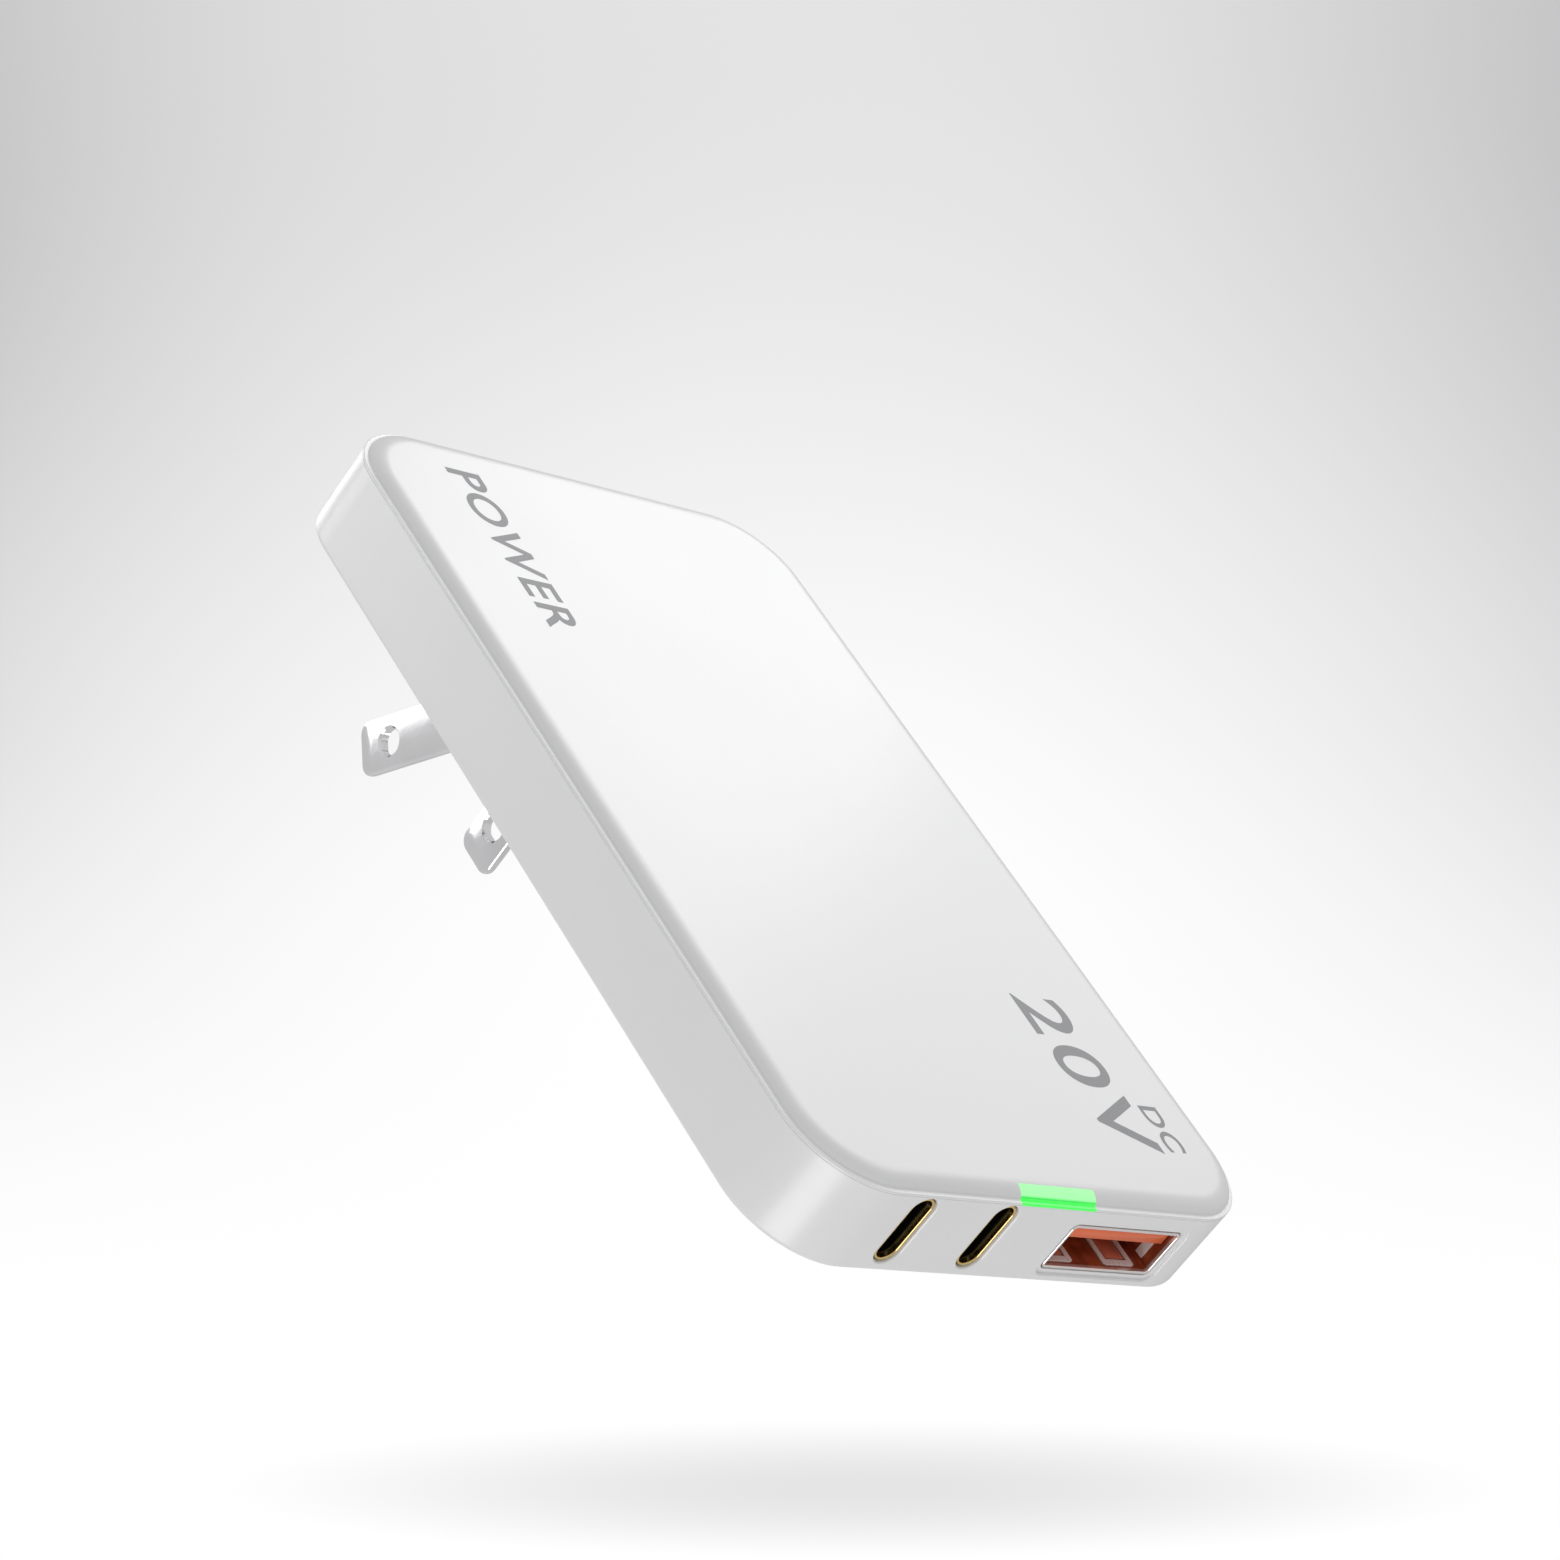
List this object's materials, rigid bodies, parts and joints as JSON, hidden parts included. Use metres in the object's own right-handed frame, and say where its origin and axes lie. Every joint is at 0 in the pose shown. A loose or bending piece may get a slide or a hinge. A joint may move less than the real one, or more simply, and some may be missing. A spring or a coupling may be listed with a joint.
{
  "type": "wall power adapter",
  "caption": "Slim flat wall power adapter with folding flat prongs at the back, upright USB-C ports and a USB-A port in one end, and a status light.",
  "frame": {"origin": "centre of the flat back face", "axes": "+Z out through the front cover, +Y along the body away from the ports, +X to the right seen from the front with the ports down"},
  "size_m": [0.07, 0.119, 0.0292],
  "materials": {
    "white_plastic": "satin",
    "hub_plastic": "satin",
    "black_plastic": "matt",
    "orange_plastic": "satin",
    "light_pipe": "lit",
    "nickel_plate": "polished nickel plate",
    "steel": "satin",
    "gold_plate": "gold plated",
    "spring_bronze": "rolled",
    "copper_wire": "enamelled copper wire",
    "aluminium": "satin",
    "capacitor_sleeve": "shrunk sleeve",
    "ferrite": "matt ceramic",
    "yellow_film": "film",
    "insulating_film": "film",
    "blue_coating": "dipped",
    "fuse_body": "ceramic",
    "lead_insulation": "matt",
    "circuit_board": "solder mask"
  },
  "bodies": {
    "casing": {"ac_lead_left": "lead_insulation", "ac_lead_right": "lead_insulation", "bridge_rectifier": "black_plastic", "bulk_capacitor_1": "capacitor_sleeve", "bulk_capacitor_2": "capacitor_sleeve", "bulk_capacitor_3": "capacitor_sleeve", "bulk_capacitor_4": "capacitor_sleeve", "bulk_capacitor_5": "capacitor_sleeve", "bulk_capacitor_6": "capacitor_sleeve", "choke_core": "ferrite", "choke_winding_left": "copper_wire", "choke_winding_right": "copper_wire", "contact_holder": "black_plastic", "contact_spring_left": "spring_bronze", "contact_spring_right": "spring_bronze", "filter_capacitor": "yellow_film", "front_cover": "white_plastic", "fuse": "fuse_body", "heat_spreader": "aluminium", "hinge_pin": "steel", "insulation_sheet": "insulating_film", "isolation_capacitor": "blue_coating", "led_light_bar": "light_pipe", "optocoupler": "black_plastic", "output_capacitor_1": "aluminium", "output_capacitor_2": "aluminium", "output_capacitor_3": "aluminium", "output_capacitor_4": "aluminium", "output_inductor_1": "ferrite", "output_inductor_2": "ferrite", "output_inductor_3": "ferrite", "output_rectifier": "black_plastic", "port_board": "circuit_board", "port_controller_1": "black_plastic", "port_controller_2": "black_plastic", "port_controller_3": "black_plastic", "power_board": "circuit_board", "power_switch": "black_plastic", "primary_controller": "black_plastic", "prong_cradle": "white_plastic", "rear_housing": "white_plastic", "status_led": "light_pipe", "surge_thermistor": "black_plastic", "transformer_core_lower": "ferrite", "transformer_core_upper": "ferrite", "transformer_winding": "yellow_film", "usb_a_contact_1": "gold_plate", "usb_a_contact_2": "gold_plate", "usb_a_contact_3": "gold_plate", "usb_a_contact_4": "gold_plate", "usb_a_shell": "steel", "usb_a_tongue": "orange_plastic", "usb_c_shell_1": "gold_plate", "usb_c_shell_2": "gold_plate", "usb_c_tongue_1": "black_plastic", "usb_c_tongue_2": "black_plastic"},
    "left_prong": {"prong_left": "nickel_plate", "prong_hub_left": "hub_plastic"},
    "right_prong": {"prong_right": "nickel_plate", "prong_hub_right": "hub_plastic"}
  },
  "joints": [
    {"name": "left_prong_fold", "type": "hinge", "parent": "casing", "child": "left_prong", "pos_m": [-0.0295, 0.019, 0.00347], "axis": [1, 0, 0], "range_deg": [-35, 55]},
    {"name": "right_prong_fold", "type": "hinge", "parent": "casing", "child": "right_prong", "pos_m": [-0.0168, 0.019, 0.00347], "axis": [1, 0, 0], "range_deg": [0, 90]}
  ]
}
